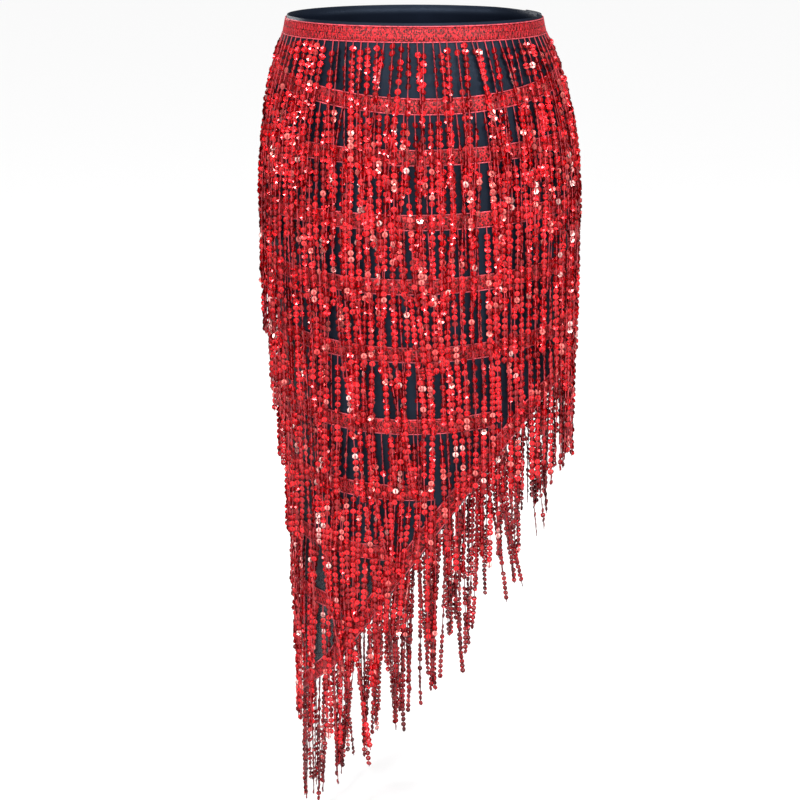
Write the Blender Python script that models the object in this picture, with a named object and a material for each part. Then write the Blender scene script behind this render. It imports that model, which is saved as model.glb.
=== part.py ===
"""Belly dance hip scarf: a fitted wrap of dark cloth, with rows of braid that each carry a fringe.

Metres, +Z up. The origin is the centre of the waist opening at the mid height of the waistband. The front
faces -Y and the wearer's left side is +X. A place on the cloth is given by its turn, an angle from the
front towards the wearer's left, and by its height.
"""

import bisect
import math
from collections import namedtuple

import bmesh
import bpy
from mathutils import Vector

# Driving dimensions
CLOTH_THICK = 0.0015
SEAM_GAP = 0.0003
BRAID_THICK = 0.0015
BRAID_HIGH = 0.0175
BRAID_IN = CLOTH_THICK + SEAM_GAP
BRAID_OUT = BRAID_IN + BRAID_THICK
CLOTH_ABOVE_BRAID = 0.003
FRINGE_LONG = 0.155
STRAND_WIDE = 0.0045
STRAND_DEEP = 0.0039
STRAND_TIP_SHARE = 0.6

# The wrap: columns of one ring, the overlap of its two ends and how far the under end lies inside
RING_COLUMNS = 52
OVERLAP_COLUMNS = 3
WRAP_START = math.radians(96)
BARE_PAST_OVERLAP = 0.003
TUCK = 0.0026
TUCK_COLUMNS = 3

Section = namedtuple("Section", "drop half_width front_deep back_deep centre")
SECTIONS = (
    Section(-0.015, 0.1360, 0.0965, 0.1010, 0.0000),
    Section(0.009, 0.1410, 0.0995, 0.1055, 0.0003),
    Section(0.031, 0.1470, 0.1030, 0.1100, 0.0018),
    Section(0.070, 0.1570, 0.1080, 0.1165, 0.0036),
    Section(0.110, 0.1640, 0.1110, 0.1215, 0.0048),
    Section(0.165, 0.1685, 0.1130, 0.1250, 0.0060),
    Section(0.205, 0.1695, 0.1135, 0.1260, 0.0065),
    Section(0.260, 0.1665, 0.1130, 0.1245, 0.0085),
    Section(0.310, 0.1625, 0.1115, 0.1210, 0.0110),
    Section(0.390, 0.1580, 0.1085, 0.1150, 0.0150),
    Section(0.460, 0.1550, 0.1060, 0.1105, 0.0175),
    Section(0.530, 0.1520, 0.1035, 0.1070, 0.0180),
    Section(0.615, 0.1490, 0.1010, 0.1040, 0.0180),
    Section(0.700, 0.1460, 0.0990, 0.1015, 0.0180),
    Section(0.840, 0.1420, 0.0965, 0.0990, 0.0180),
)
HIP_DROP = 0.205

# Each row of braid: how far its top edge lies below the origin at the front, how much it rises round the
# sides and the turn, in degrees, of its lowest point
Row = namedtuple("Row", "node drop rise turn")
ROWS = (
    Row("waistband_trim", -0.0090, 0.000, 0),
    Row("fringe_row_1", 0.0655, 0.028, 4),
    Row("fringe_row_2", 0.1190, 0.014, -4),
    Row("fringe_row_3", 0.1880, 0.013, -6),
    Row("fringe_row_4", 0.2580, 0.019, -9),
    Row("fringe_row_5", 0.3335, 0.024, -8),
    Row("fringe_row_6", 0.4150, 0.026, -13),
    Row("fringe_row_7", 0.4910, 0.024, -13),
    Row("fringe_row_8", 0.5630, 0.022, -13),
    Row("fringe_row_9", 0.6340, 0.020, -13),
)
RISE_GAIN = 1.15
RISE_ENDS = math.radians(120)
LOWEST_DROP = 0.810

# The slanting hem is two straight cuts, the second of which rounds off the low corner
HemCut = namedtuple("HemCut", "drop slope")
HEM_CUTS = (HemCut(0.6192, 1.373), HemCut(0.6692, 0.806))
HEM_TILT = -0.366
HEM_BRAID_GAP = 0.002

# The hem's strands, by turn in degrees: longest at the middle of the front, shortest at the wearer's left
HemStrand = namedtuple("HemStrand", "turn long")
HEM_STRANDS = (
    HemStrand(-180, 0.150),
    HemStrand(-90, 0.127),
    HemStrand(-60, 0.148),
    HemStrand(-20, 0.152),
    HemStrand(6, 0.190),
    HemStrand(14, 0.185),
    HemStrand(22, 0.160),
    HemStrand(45, 0.136),
    HemStrand(70, 0.100),
    HemStrand(96, 0.090),
    HemStrand(180, 0.150),
)

# A strand lies flat below its braid, then hangs outside every row that it passes. Its lane keeps it beside
# the strands of the rows above and below.
FLAT_DROP = 0.008
FREE_DROP = 0.025
FOLLOW_DROPS = (0.060, 0.100)
FLAT_IN, FLAT_OUT = 0.0020, 0.0037
FREE_IN = 0.0044
HEM_IN = -0.0005
LANE_STEP = 0.008
LANES = 4
SHORTEST_ROOT = 0.007
ROW_FACING_DOWN, HEM_FACING_DOWN = 0.9, 0.2
SHOULDER = 0.35

CLOTH_NAVY, CLOTH_ROUGH = (0.012, 0.016, 0.026, 1.0), 0.5
FRINGE_RED, FRINGE_ROUGH = (0.42, 0.006, 0.014, 1.0), 0.35
SMOOTH_ANGLE = math.radians(35)
DOWN = Vector((0, 0, -1))


def measure(drop, column):
    """One column of the section table at this drop, on a smooth curve through the rows."""
    last = len(SECTIONS) - 1
    at = max(i for i in range(last) if i == 0 or SECTIONS[i].drop <= drop)
    drops = [section.drop for section in SECTIONS]
    values = [getattr(section, column) for section in SECTIONS]

    def slope(i):
        low, high = max(i - 1, 0), min(i + 1, last)
        return (values[high] - values[low]) / (drops[high] - drops[low])

    span = drops[at + 1] - drops[at]
    t = min(max((drop - drops[at]) / span, 0.0), 1.0)
    start, end = values[at], values[at + 1]
    return (
        start * (2 * t**3 - 3 * t**2 + 1)
        + end * (3 * t**2 - 2 * t**3)
        + span * slope(at) * (t**3 - 2 * t**2 + t)
        + span * slope(at + 1) * (t**3 - t**2)
    )


def spot(turn, height):
    """The point of the cloth's inner face at this turn and height."""
    side = "front_deep" if math.cos(turn) > 0 else "back_deep"
    across = measure(-height, "centre") + measure(-height, "half_width") * math.sin(turn)
    return Vector((across, -measure(-height, side) * math.cos(turn), height))


def turn_of(point):
    """The turn of a point on or near the cloth."""
    side = "front_deep" if point.y < 0 else "back_deep"
    across = (point.x - measure(-point.z, "centre")) / measure(-point.z, "half_width")
    return math.atan2(across, -point.y / measure(-point.z, side))


def outward(turn, height):
    """The unit normal of the cloth, pointing away from the wearer."""
    small_turn, small_height = 0.01, 0.002
    round_it = spot(turn + small_turn, height) - spot(turn - small_turn, height)
    up_it = spot(turn, height + small_height) - spot(turn, height - small_height)
    return round_it.cross(up_it).normalized()


def rise_share(turn):
    """The share of a row's rise at this turn from its lowest point: all of it behind the sides."""
    away = min(abs(math.remainder(turn, math.tau)), RISE_ENDS)
    return RISE_GAIN * math.sin(away * math.radians(90) / RISE_ENDS) ** 2


def row_height(row, below_top, turn):
    return row.rise * rise_share(turn - math.radians(row.turn)) - row.drop - below_top


def ring_turns(count):
    """The turns of equal steps round the hip, starting at the wrap's under end."""
    fine = 3600
    turns = [WRAP_START + math.tau * i / fine for i in range(fine + 1)]
    points = [spot(turn, -HIP_DROP) for turn in turns]
    lengths = [0.0]
    for first, second in zip(points, points[1:]):
        lengths.append(lengths[-1] + (second - first).length)
    wanted = [lengths[-1] * k / count for k in range(count)]
    return [turns[bisect.bisect_left(lengths, length)] for length in wanted]


def wrap_columns():
    """(turn, tuck) of each column of the wrap, from its under end round to its outer end."""
    ring = ring_turns(RING_COLUMNS)
    columns = [(turn, -TUCK) for turn in ring[: OVERLAP_COLUMNS + 1]]
    columns.append((columns[-1][0] + BARE_PAST_OVERLAP / measure(HIP_DROP, "back_deep"), -TUCK))
    for k, turn in enumerate(ring[OVERLAP_COLUMNS + 1 :], start=1):
        columns.append((turn, -TUCK * max(0.0, 1 - k / TUCK_COLUMNS)))
    columns.extend((turn + math.tau, 0.0) for turn in ring[: OVERLAP_COLUMNS + 1])
    return columns


COLUMNS = wrap_columns()
DRESSED_COLUMNS = COLUMNS[OVERLAP_COLUMNS + 1 :]


def cloth_rows():
    """(row, below_top) of each line of the cloth: its top, both edges of every row of braid and its foot."""
    lines = [(ROWS[0], -CLOTH_ABOVE_BRAID)]
    for row in ROWS:
        lines.extend([(row, 0.0), (row, BRAID_HIGH)])
    lines.append((Row("foot", LOWEST_DROP, 0.0, 0), 0.0))
    return lines


def laid_sheet(columns, lines):
    """A sheet on the cloth's inner face, with its tuck kept at each vertex."""
    bm = bmesh.new()
    tuck = bm.verts.layers.float.new("tuck")
    across, up = len(columns) - 1, len(lines) - 1
    bmesh.ops.create_grid(bm, x_segments=across, y_segments=up, size=1.0)
    for vert in bm.verts:
        turn, inside = columns[round((vert.co.x + 1) / 2 * across)]
        row, below_top = lines[round((1 - vert.co.y) / 2 * up)]
        vert.co = spot(turn, row_height(row, below_top, turn))
        vert[tuck] = inside
    return bm


def hem_plane(cut, raised):
    """(point, unit normal) of a cut of the hem, raised square to itself. The normal points into the cloth."""
    normal = Vector((-cut.slope, -HEM_TILT, 1.0)).normalized()
    return Vector((0, 0, -cut.drop)) + normal * raised, normal


def above_hem(point, raised):
    return all((point - at).dot(normal) > 0 for at, normal in (hem_plane(cut, raised) for cut in HEM_CUTS))


def trim_to_hem(bm, raised=0.0, clear=True):
    """Cuts the sheet along the hem, or only splits its faces there."""
    for cut in HEM_CUTS:
        at, normal = hem_plane(cut, raised)
        everything = bm.verts[:] + bm.edges[:] + bm.faces[:]
        bmesh.ops.bisect_plane(bm, geom=everything, plane_co=at, plane_no=normal, clear_inner=clear)


def thicken(bm, inner, outer):
    """Makes the sheet a closed wall between two distances out, and returns its outer vertices."""
    tuck = bm.verts.layers.float["tuck"]
    made = bmesh.ops.extrude_face_region(bm, geom=bm.faces[:] + bm.edges[:], use_keep_orig=True)
    outer_verts = {item for item in made["geom"] if isinstance(item, bmesh.types.BMVert)}
    for vert in bm.verts:
        out = outer if vert in outer_verts else inner
        vert.co += outward(turn_of(vert.co), vert.co.z) * (out + vert[tuck])
    bmesh.ops.recalc_face_normals(bm, faces=bm.faces[:])
    bm.normal_update()
    return outer_verts


def hanging_faces(bm, outer_verts, facing_down):
    """The narrow faces along a wall's lower edge, leaving out the tucked end."""
    tuck = bm.verts.layers.float["tuck"]
    found = []
    for face in bm.faces:
        across_wall = sum(vert in outer_verts for vert in face.verts) == 2
        untucked = all(vert[tuck] > -SEAM_GAP for vert in face.verts)
        if across_wall and untucked and face.normal.z < -facing_down:
            found.append(face)
    return found


def column_number(face):
    """The dressed column that a hanging face lies in."""
    turn = turn_of(face.calc_center_median())
    pairs = zip(DRESSED_COLUMNS, DRESSED_COLUMNS[1:])
    gaps = [abs(math.remainder(turn - (start[0] + end[0]) / 2, math.tau)) for start, end in pairs]
    return gaps.index(min(gaps))


def lower_edge(face, outer_verts):
    """The outer edge of a hanging face."""
    return next(edge for edge in face.edges if all(vert in outer_verts for vert in edge.verts))


def root_faces(faces, outer_verts, odd):
    """The longest hanging face of every second column, where it has room for a root."""
    longest = {}
    for face in faces:
        number = column_number(face)
        length = lower_edge(face, outer_verts).calc_length()
        if number % 2 == odd and length > max(SHORTEST_ROOT, longest.get(number, (0.0, None))[0]):
            longest[number] = (length, face)
    return [face for _, (_, face) in sorted(longest.items())]


def root_triangle(face, outer_verts):
    """Splits a triangle off the first end of a hanging face, and returns it as a face."""
    edge = lower_edge(face, outer_verts)
    middle = turn_of(face.calc_center_median())
    start = min(edge.verts, key=lambda vert: math.remainder(turn_of(vert.co) - middle, math.tau))
    inner_start = next(e.other_vert(start) for e in face.edges if start in e.verts and e != edge)
    _, corner = bmesh.utils.edge_split(edge, start, STRAND_WIDE / edge.calc_length())
    outer_verts.add(corner)
    bmesh.utils.face_split(face, corner, inner_start)
    return next(f for f in corner.link_faces if {start, corner, inner_start} == set(f.verts))


def strand_levels(long, follows):
    """(drop, inner, outer, share of the lane's shift) of each ring of a strand."""
    free = (FREE_IN, FREE_IN + STRAND_DEEP)
    levels = [(FLAT_DROP, FLAT_IN, FLAT_OUT, SHOULDER), (FREE_DROP, *free, 1.0)]
    if follows:
        levels.extend((drop, *free, 1.0) for drop in FOLLOW_DROPS)
    levels.append((long, *free, 1.0))
    return levels


def hem_levels(long):
    return [(FREE_DROP, HEM_IN, HEM_IN + STRAND_DEEP, 0.0), (long, HEM_IN, HEM_IN + STRAND_DEEP, 0.0)]


def hang_strand(bm, face, levels, shift):
    """Extrudes a root triangle down through its levels. It hangs plumb where the cloth falls away."""
    root = face.calc_center_median()
    reach = 0.0
    for number, (drop, inner, outer, share) in enumerate(levels):
        height = root.z - drop
        turn = turn_of(root) + shift * share / measure(-root.z, "half_width")
        centre = spot(turn, height)
        away = outward(turn, height)
        away.z = 0.0
        away.normalize()
        hung = centre + away * (inner + outer) / 2
        flat_reach = math.hypot(hung.x, hung.y)
        if flat_reach < reach:
            hung = Vector((plumb.x, plumb.y, height))
        else:
            reach = flat_reach
        plumb = hung.copy()
        along = Vector((-away.y, away.x, 0.0))
        if number == 0:
            order = sorted_corners(face, along, away)
        taper = STRAND_TIP_SHARE if number == len(levels) - 1 else 1.0
        half_deep = away * (outer - inner) / 2 * taper
        half_wide = along * STRAND_WIDE / 2 * taper
        places = (hung + half_deep - half_wide, hung + half_deep + half_wide, hung - half_deep)
        face = extruded(bm, face, order, places)
        order = [min(face.verts, key=lambda vert: (vert.co - place).length) for place in places]


def sorted_corners(face, along, away):
    """A root triangle's corners: outer first side, outer second side, inner."""
    inner = min(face.verts, key=lambda vert: vert.co.dot(away))
    outer = [vert for vert in face.verts if vert != inner]
    outer.sort(key=lambda vert: vert.co.dot(along))
    return [*outer, inner]


def extruded(bm, face, corners, places):
    """Extrudes a triangle and puts the copy of each corner at its place."""
    before = [corner.co.copy() for corner in corners]
    new_face = bmesh.ops.extrude_discrete_faces(bm, faces=[face])["faces"][0]
    for old, place in zip(before, places):
        vert = min(new_face.verts, key=lambda v: (v.co - old).length)
        vert.co = place
    return new_face


def hem_strand_length(turn):
    degrees = math.degrees(math.remainder(turn, math.tau))
    for low, high in zip(HEM_STRANDS, HEM_STRANDS[1:]):
        if low.turn <= degrees <= high.turn:
            share = (degrees - low.turn) / (high.turn - low.turn)
            return low.long + (high.long - low.long) * share
    raise ValueError("no hem strand length at this turn")


def keep_largest_piece(bm):
    """Deletes all but the largest connected part of the sheet."""
    left = set(bm.faces)
    pieces = []
    while left:
        piece, edge_of_piece = set(), [left.pop()]
        while edge_of_piece:
            face = edge_of_piece.pop()
            piece.add(face)
            for neighbour in (f for e in face.edges for f in e.link_faces if f in left):
                left.discard(neighbour)
                edge_of_piece.append(neighbour)
        pieces.append(piece)
    pieces.sort(key=len)
    for piece in pieces[:-1]:
        bmesh.ops.delete(bm, geom=list(piece), context="FACES")


def finished(bm, name, colour, roughness):
    """The mesh as an object of this name, with a material of its own."""
    bmesh.ops.recalc_face_normals(bm, faces=bm.faces[:])
    mesh = bpy.data.meshes.new(name)
    bm.to_mesh(mesh)
    bm.free()
    mesh.shade_smooth()
    mesh.set_sharp_from_angle(angle=SMOOTH_ANGLE)
    material = bpy.data.materials.new(name)
    material.use_nodes = True
    shader = material.node_tree.nodes["Principled BSDF"]
    shader.inputs["Base Color"].default_value = colour
    shader.inputs["Roughness"].default_value = roughness
    material.diffuse_color = colour
    mesh.materials.append(material)
    obj = bpy.data.objects.new(name, mesh)
    bpy.context.scene.collection.objects.link(obj)
    return obj


def build_cloth():
    bm = laid_sheet(COLUMNS, cloth_rows())
    trim_to_hem(bm)
    thicken(bm, 0.0, CLOTH_THICK)
    return finished(bm, "base_cloth", CLOTH_NAVY, CLOTH_ROUGH)


def build_row(number, row):
    """One row: a strip of braid along the cloth, and its strands."""
    bm = laid_sheet(DRESSED_COLUMNS, [(row, 0.0), (row, BRAID_HIGH)])
    trim_to_hem(bm, raised=BRAID_HIGH + HEM_BRAID_GAP)
    keep_largest_piece(bm)
    outer_verts = thicken(bm, BRAID_IN, BRAID_OUT)
    follows = row.drop < HIP_DROP
    shift = LANE_STEP if number % LANES >= LANES / 2 else 0.0
    hanging = hanging_faces(bm, outer_verts, ROW_FACING_DOWN)
    for face in root_faces(hanging, outer_verts, number % 2):
        if above_hem(face.calc_center_median() + DOWN * FREE_DROP, BRAID_HIGH):
            triangle = root_triangle(face, outer_verts)
            hang_strand(bm, triangle, strand_levels(FRINGE_LONG, follows), shift)
    return finished(bm, row.node, FRINGE_RED, FRINGE_ROUGH)


def build_hem():
    """The braid along the slanting hem, and its strands."""
    bm = laid_sheet(DRESSED_COLUMNS, cloth_rows())
    trim_to_hem(bm)
    trim_to_hem(bm, raised=BRAID_HIGH, clear=False)
    spare = [face for face in bm.faces if above_hem(face.calc_center_median(), BRAID_HIGH)]
    bmesh.ops.delete(bm, geom=spare, context="FACES")
    outer_verts = thicken(bm, BRAID_IN, BRAID_OUT)
    for face in root_faces(hanging_faces(bm, outer_verts, HEM_FACING_DOWN), outer_verts, 0):
        long = hem_strand_length(turn_of(face.calc_center_median()))
        hang_strand(bm, root_triangle(face, outer_verts), hem_levels(long), 0.0)
    return finished(bm, "hem_trim", FRINGE_RED, FRINGE_ROUGH)


def main():
    for obj in list(bpy.data.objects):
        bpy.data.objects.remove(obj)
    build_cloth()
    for number, row in enumerate(ROWS):
        build_row(number, row)
    build_hem()


main()
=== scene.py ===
"""Belly dance hip scarf: how it looks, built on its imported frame.

Metres, +Z up. The origin is the centre of the waist opening at the mid height of the waistband. The front
faces -Y and the wearer's left side is +X. A place on the cloth is given by its turn, an angle from the
front towards the wearer's left, and by its height.
"""

import bisect
import math
import random
from collections import namedtuple

import bmesh
import bpy
from bpy.props import FloatProperty, FloatVectorProperty, PointerProperty
from mathutils import Euler, Matrix, Vector


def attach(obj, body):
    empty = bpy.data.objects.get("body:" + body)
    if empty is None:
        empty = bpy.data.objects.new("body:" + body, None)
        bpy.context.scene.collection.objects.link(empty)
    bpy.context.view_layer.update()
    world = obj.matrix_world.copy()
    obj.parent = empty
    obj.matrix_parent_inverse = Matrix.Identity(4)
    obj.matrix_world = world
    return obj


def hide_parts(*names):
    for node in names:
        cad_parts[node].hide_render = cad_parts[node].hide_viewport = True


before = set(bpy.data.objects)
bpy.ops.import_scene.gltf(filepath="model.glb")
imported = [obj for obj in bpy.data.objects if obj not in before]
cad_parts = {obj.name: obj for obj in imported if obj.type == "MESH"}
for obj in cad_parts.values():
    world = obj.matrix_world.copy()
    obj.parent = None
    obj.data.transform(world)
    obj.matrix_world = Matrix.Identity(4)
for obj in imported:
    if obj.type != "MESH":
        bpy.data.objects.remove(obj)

bl_info = {
    "name": "Belly Dance Hip Scarf",
    "version": (1, 0, 0),
    "blender": (4, 5, 0),
    "location": "View3D > Sidebar > Hip Scarf",
    "description": "Builds a hip scarf of dark cloth with rows of sequin fringe",
    "category": "Add Mesh",
}

SEED = 11000

# The body shape under the cloth
Section = namedtuple("Section", "drop half_width front_deep back_deep centre")
SECTIONS = (
    Section(-0.015, 0.1360, 0.0965, 0.1010, 0.0000),
    Section(0.009, 0.1410, 0.0995, 0.1055, 0.0003),
    Section(0.031, 0.1470, 0.1030, 0.1100, 0.0018),
    Section(0.070, 0.1570, 0.1080, 0.1165, 0.0036),
    Section(0.110, 0.1640, 0.1110, 0.1215, 0.0048),
    Section(0.165, 0.1685, 0.1130, 0.1250, 0.0060),
    Section(0.205, 0.1695, 0.1135, 0.1260, 0.0065),
    Section(0.260, 0.1665, 0.1130, 0.1245, 0.0085),
    Section(0.310, 0.1625, 0.1115, 0.1210, 0.0110),
    Section(0.390, 0.1580, 0.1085, 0.1150, 0.0150),
    Section(0.460, 0.1550, 0.1060, 0.1105, 0.0175),
    Section(0.530, 0.1520, 0.1035, 0.1070, 0.0180),
    Section(0.615, 0.1490, 0.1010, 0.1040, 0.0180),
    Section(0.700, 0.1460, 0.0990, 0.1015, 0.0180),
    Section(0.840, 0.1420, 0.0965, 0.0990, 0.0180),
)
SECTION_DROPS = [section.drop for section in SECTIONS]
SECTION_VALUES = {name: [getattr(section, name) for section in SECTIONS] for name in Section._fields}
HIP_DROP = 0.205
LOWEST_DROP = 0.810

# Each row of braid: how far its top edge lies below the origin at the front, how much it rises round the
# sides and the turn, in degrees, of its lowest point
Row = namedtuple("Row", "node drop rise turn")
ROWS = (
    Row("waistband_trim", -0.0090, 0.000, 0),
    Row("fringe_row_1", 0.0655, 0.028, 4),
    Row("fringe_row_2", 0.1190, 0.014, -4),
    Row("fringe_row_3", 0.1880, 0.013, -6),
    Row("fringe_row_4", 0.2580, 0.019, -9),
    Row("fringe_row_5", 0.3335, 0.024, -8),
    Row("fringe_row_6", 0.4150, 0.026, -13),
    Row("fringe_row_7", 0.4910, 0.024, -13),
    Row("fringe_row_8", 0.5630, 0.022, -13),
    Row("fringe_row_9", 0.6340, 0.020, -13),
)
RISE_GAIN = 1.15
RISE_ENDS = math.radians(120)
CLOTH_ABOVE_BRAID = 0.003

# The slanting hem is two straight cuts, the second of which rounds off the low corner
HemCut = namedtuple("HemCut", "drop slope")
HEM_CUTS = (HemCut(0.6192, 1.373), HemCut(0.6692, 0.806))
HEM_TILT = -0.366
HEM_BRAID_GAP = 0.002
HEM_NODE = "hem_trim"

# How a height on the hem is found: how often its range is halved, and how far below the cloth it starts
HALVINGS, SEARCH_BELOW = 24, 0.1

# How long the hem's threads are, by turn in degrees
HemThread = namedtuple("HemThread", "turn long")
HEM_THREADS = (
    HemThread(-180, 0.150),
    HemThread(-90, 0.127),
    HemThread(-60, 0.148),
    HemThread(-20, 0.152),
    HemThread(6, 0.190),
    HemThread(14, 0.185),
    HemThread(22, 0.160),
    HemThread(45, 0.136),
    HemThread(70, 0.100),
    HemThread(96, 0.090),
    HemThread(180, 0.150),
)

# The wrap: its under end is tucked in at the wearer's left side and its over end laps past it
WRAP_START = math.radians(96)
OVERLAP = math.radians(20)
BARE_END = math.radians(1.5)
TUCK = 0.0026
TUCK_EASE = math.radians(21)
CLOTH_INNER, CLOTH_OUTER = 0.0006, 0.0015
CLOTH_COLUMNS, CLOTH_LINES = 144, 74

# The cloth is a thin net below the first of these drops, thinnest from the second
NET_DROP, NET_THIN_DROP = 0.56, 0.66

# Soft creases in the cloth: ridges, or troughs where deep is below zero. Turn and slant are in degrees.
Crease = namedtuple("Crease", "turn drop slant long wide deep")
CREASES = (
    Crease(-28, 0.046, 4, 0.090, 0.0050, 0.0011),
    Crease(-34, 0.058, -6, 0.060, 0.0045, -0.0009),
    Crease(2, 0.052, 3, 0.110, 0.0055, 0.0009),
    Crease(26, 0.044, -8, 0.070, 0.0050, 0.0010),
    Crease(58, 0.050, -12, 0.060, 0.0050, -0.0009),
    Crease(-62, 0.112, 10, 0.060, 0.0050, 0.0010),
    Crease(12, 0.108, 5, 0.080, 0.0050, 0.0008),
    Crease(-22, 0.172, 74, 0.045, 0.0060, 0.0009),
    Crease(-15, 0.236, 86, 0.050, 0.0070, 0.0010),
    Crease(20, 0.240, 96, 0.045, 0.0060, -0.0008),
    Crease(-30, 0.310, 82, 0.060, 0.0070, 0.0010),
    Crease(8, 0.315, 94, 0.055, 0.0070, 0.0009),
    Crease(-24, 0.392, 88, 0.060, 0.0080, 0.0010),
    Crease(-52, 0.470, 86, 0.080, 0.0080, 0.0010),
    Crease(-14, 0.540, 92, 0.090, 0.0080, 0.0011),
    Crease(-44, 0.615, 88, 0.100, 0.0080, 0.0012),
    Crease(-66, 0.700, 84, 0.080, 0.0080, 0.0010),
    Crease(150, 0.050, 6, 0.100, 0.0055, 0.0010),
    Crease(-158, 0.060, -8, 0.080, 0.0050, -0.0009),
    Crease(176, 0.108, 4, 0.090, 0.0055, 0.0009),
    Crease(-120, 0.118, 12, 0.060, 0.0050, 0.0009),
    Crease(164, 0.240, 88, 0.060, 0.0070, 0.0010),
    Crease(-170, 0.312, 84, 0.060, 0.0070, 0.0010),
    Crease(-140, 0.395, 94, 0.070, 0.0080, 0.0010),
    Crease(-160, 0.470, 88, 0.070, 0.0080, -0.0009),
    Crease(-118, 0.600, 90, 0.110, 0.0080, 0.0012),
)

# A crease has died out this far round from its middle, in radians
CREASE_LIMIT = 0.9

# How far out of the cloth's inner face a row's thread hangs, at shares of its length
Reach = namedtuple("Reach", "share out")
REACHES = (
    Reach(0.00, 0.0030),
    Reach(0.05, 0.0034),
    Reach(0.16, 0.0062),
    Reach(0.40, 0.0070),
    Reach(0.70, 0.0074),
    Reach(1.00, 0.0076),
)

# The same for a hem's thread, at its top and how much further at its tip
HEM_OUT, HEM_FLARE = 0.0022, 0.001

# A thread: its length and its spread, how far it starts inside its braid, the least of it that shows above
# the hem's braid, and its small waves
FRINGE_LONG, FRINGE_SPREAD, HEM_SPREAD = 0.155, 0.007, 0.006
UNDER_BRAID = 0.002
LEAST_SHOWN = 0.006
THREAD_KNOTS = 9
SWAY, SWAY_WAVES = 0.0009, 7.0

# Where a row's threads are sewn, in shares of their spacing. Each row starts further along than the last.
ROW_SHIFTS = 3
SEWN_LEAST, SEWN_MOST, SEWN_SHARE = 0.1, 0.5, 0.6

# How sequins are strung: the pitch and the sizes are shares of a sequin's diameter
BARE_TOP, BARE_LEAST, BARE_MOST = 0.0065, 0.7, 1.5
PITCH_LEAST, PITCH_MOST = 0.88, 1.0
CLUSTER_LEAST, CLUSTER_MOST = 3, 11
GAP_LEAST, GAP_MOST = 0.001, 0.010
NO_GAP_ABOVE = 0.034
NEW_TINT = 0.7
TOP_SEQUIN_SIZE, LOW_SEQUIN_SIZE, HEM_SEQUIN_SIZE = 1.06, 0.95, 0.85
SIZE_LEAST, SIZE_MOST = 0.95, 1.03

# How sequins turn on their thread, in radians: a thread's own turn, its twist from sequin to sequin, a
# sequin's own turn and its tilt. At the top of the thread a sequin makes only the held share of its turn.
THREAD_TURN, THREAD_TWIST, OWN_TURN = 0.5, 0.16, 0.3
MEAN_TILT, TILT_SPREAD = 0.06, 0.14
HELD_SHARE, FREE_TO_TURN = 0.35, 0.025

# How the threads bunch, as shares of the way to the middle of their bunch, how many make a bunch, how far
# the bunch and each thread stray at the tip, and how the hem's threads fan out
TOP_BUNCHING, LOW_BUNCHING, HEM_BUNCHING = 0.15, 0.55, 0.7
BUNCH_LEAST, BUNCH_MOST = 2, 7
BUNCH_DRIFT = 0.004
STRAY_LEAN, STRAY_GAINS = 0.003, (1, 1, 1, 3)
FAN_TURN, FAN_WIDTH, FAN_LEAN = math.radians(30), math.radians(15), 0.020

# Where the fringe of the lowest rows parts: its middle and half width, and its lean for each radian
PARTING_FROM_ROW = 8
PARTING_TURN, PARTING_WIDTH, PARTING_LEAN = math.radians(-54), math.radians(9), 0.2

# Where the rows' threads hang evenly over the rising hem: middle, half width and share of lean taken off
EVEN_FROM_ROW = 3
EVEN_TURN, EVEN_WIDTH, EVEN_SHARE = math.radians(50), math.radians(48), 0.85

# The braid: its height, how far its faces and cords lie out of the cloth, and its cords' radii
BRAID_HIGH = 0.0175
BRAID_STEP, BRAID_LINES = 0.009, 3
BRAID_INNER, BRAID_OUTER = 0.0018, 0.0026
CORD_OUT = 0.0028
EDGE_CORD, MEANDER_CORD = 0.00065, 0.00045
MEANDER_PITCH = 0.0062
MEANDER_BANDS = (0.14, 0.46), (0.56, 0.87)

# One wave of a winding cord: each knot's share of the pitch, and whether it is at the top of the cord's band
MEANDER_KNOTS = (0.15, False), (0.35, True), (0.65, True), (0.85, False)

# The cup sequin: its rim's rise, its hole's share of the diameter, its front and back there, and its sides
RIM_RISE, HOLE_SHARE = 0.00045, 0.26
HOLE_FRONT, HOLE_BACK = 0.00005, -0.00035
SEQUIN_SIDES = 7

# How near points are merged, in a sequin and in a tube
WELD_SEQUIN, WELD_TUBE = 1e-6, 1e-7

# As shares of a sequin's radius: the end of the painted shade by its hole, the width of its rim's painted
# shade, and where that starts. The plain share of the sequins has no painted flash of light.
HOLE_SHADE, RIM_SHADE = 0.36, 0.17
ROW_RIM, HEM_RIM = 0.8, 0.7
ROW_PLAIN, HEM_PLAIN = 0.925, 0.975

# The colour sockets of Blender's Mix node
MIX_A, MIX_B, MIX_RESULT = 6, 7, 2

Lamp = namedtuple("Lamp", "name place size power")
LAMPS = (
    Lamp("key_light", (-1.1, -1.7, 0.9), 0.5, 28),
    Lamp("fill_light", (1.3, -1.6, 0.5), 0.6, 17),
    Lamp("flash_light", (0.25, -2.5, 0.9), 0.35, 24),
    Lamp("low_flash", (-0.35, -2.4, 0.15), 0.25, 7),
    Lamp("left_flash", (0.9, -2.1, 1.1), 0.25, 12),
    Lamp("back_light", (-1.2, 1.8, 0.9), 0.7, 16),
)
LAMP_TARGET = (0.0, 0.0, -0.35)
OVERHEAD_STRENGTH, OVERHEAD_SPREAD = 2.4, math.radians(50)
OVERHEAD_TURN = (math.radians(16), 0.0, 0.0)
WORLD_STRENGTH = 0.3
CAMERA_PLACE = (-0.0155, -2.60, 0.27)
CAMERA_PITCH = math.radians(75.1)
CAMERA_LENS = 106.875
FLOOR_HEIGHT = -0.93
FLOOR_SIZE = 40.0


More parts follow.
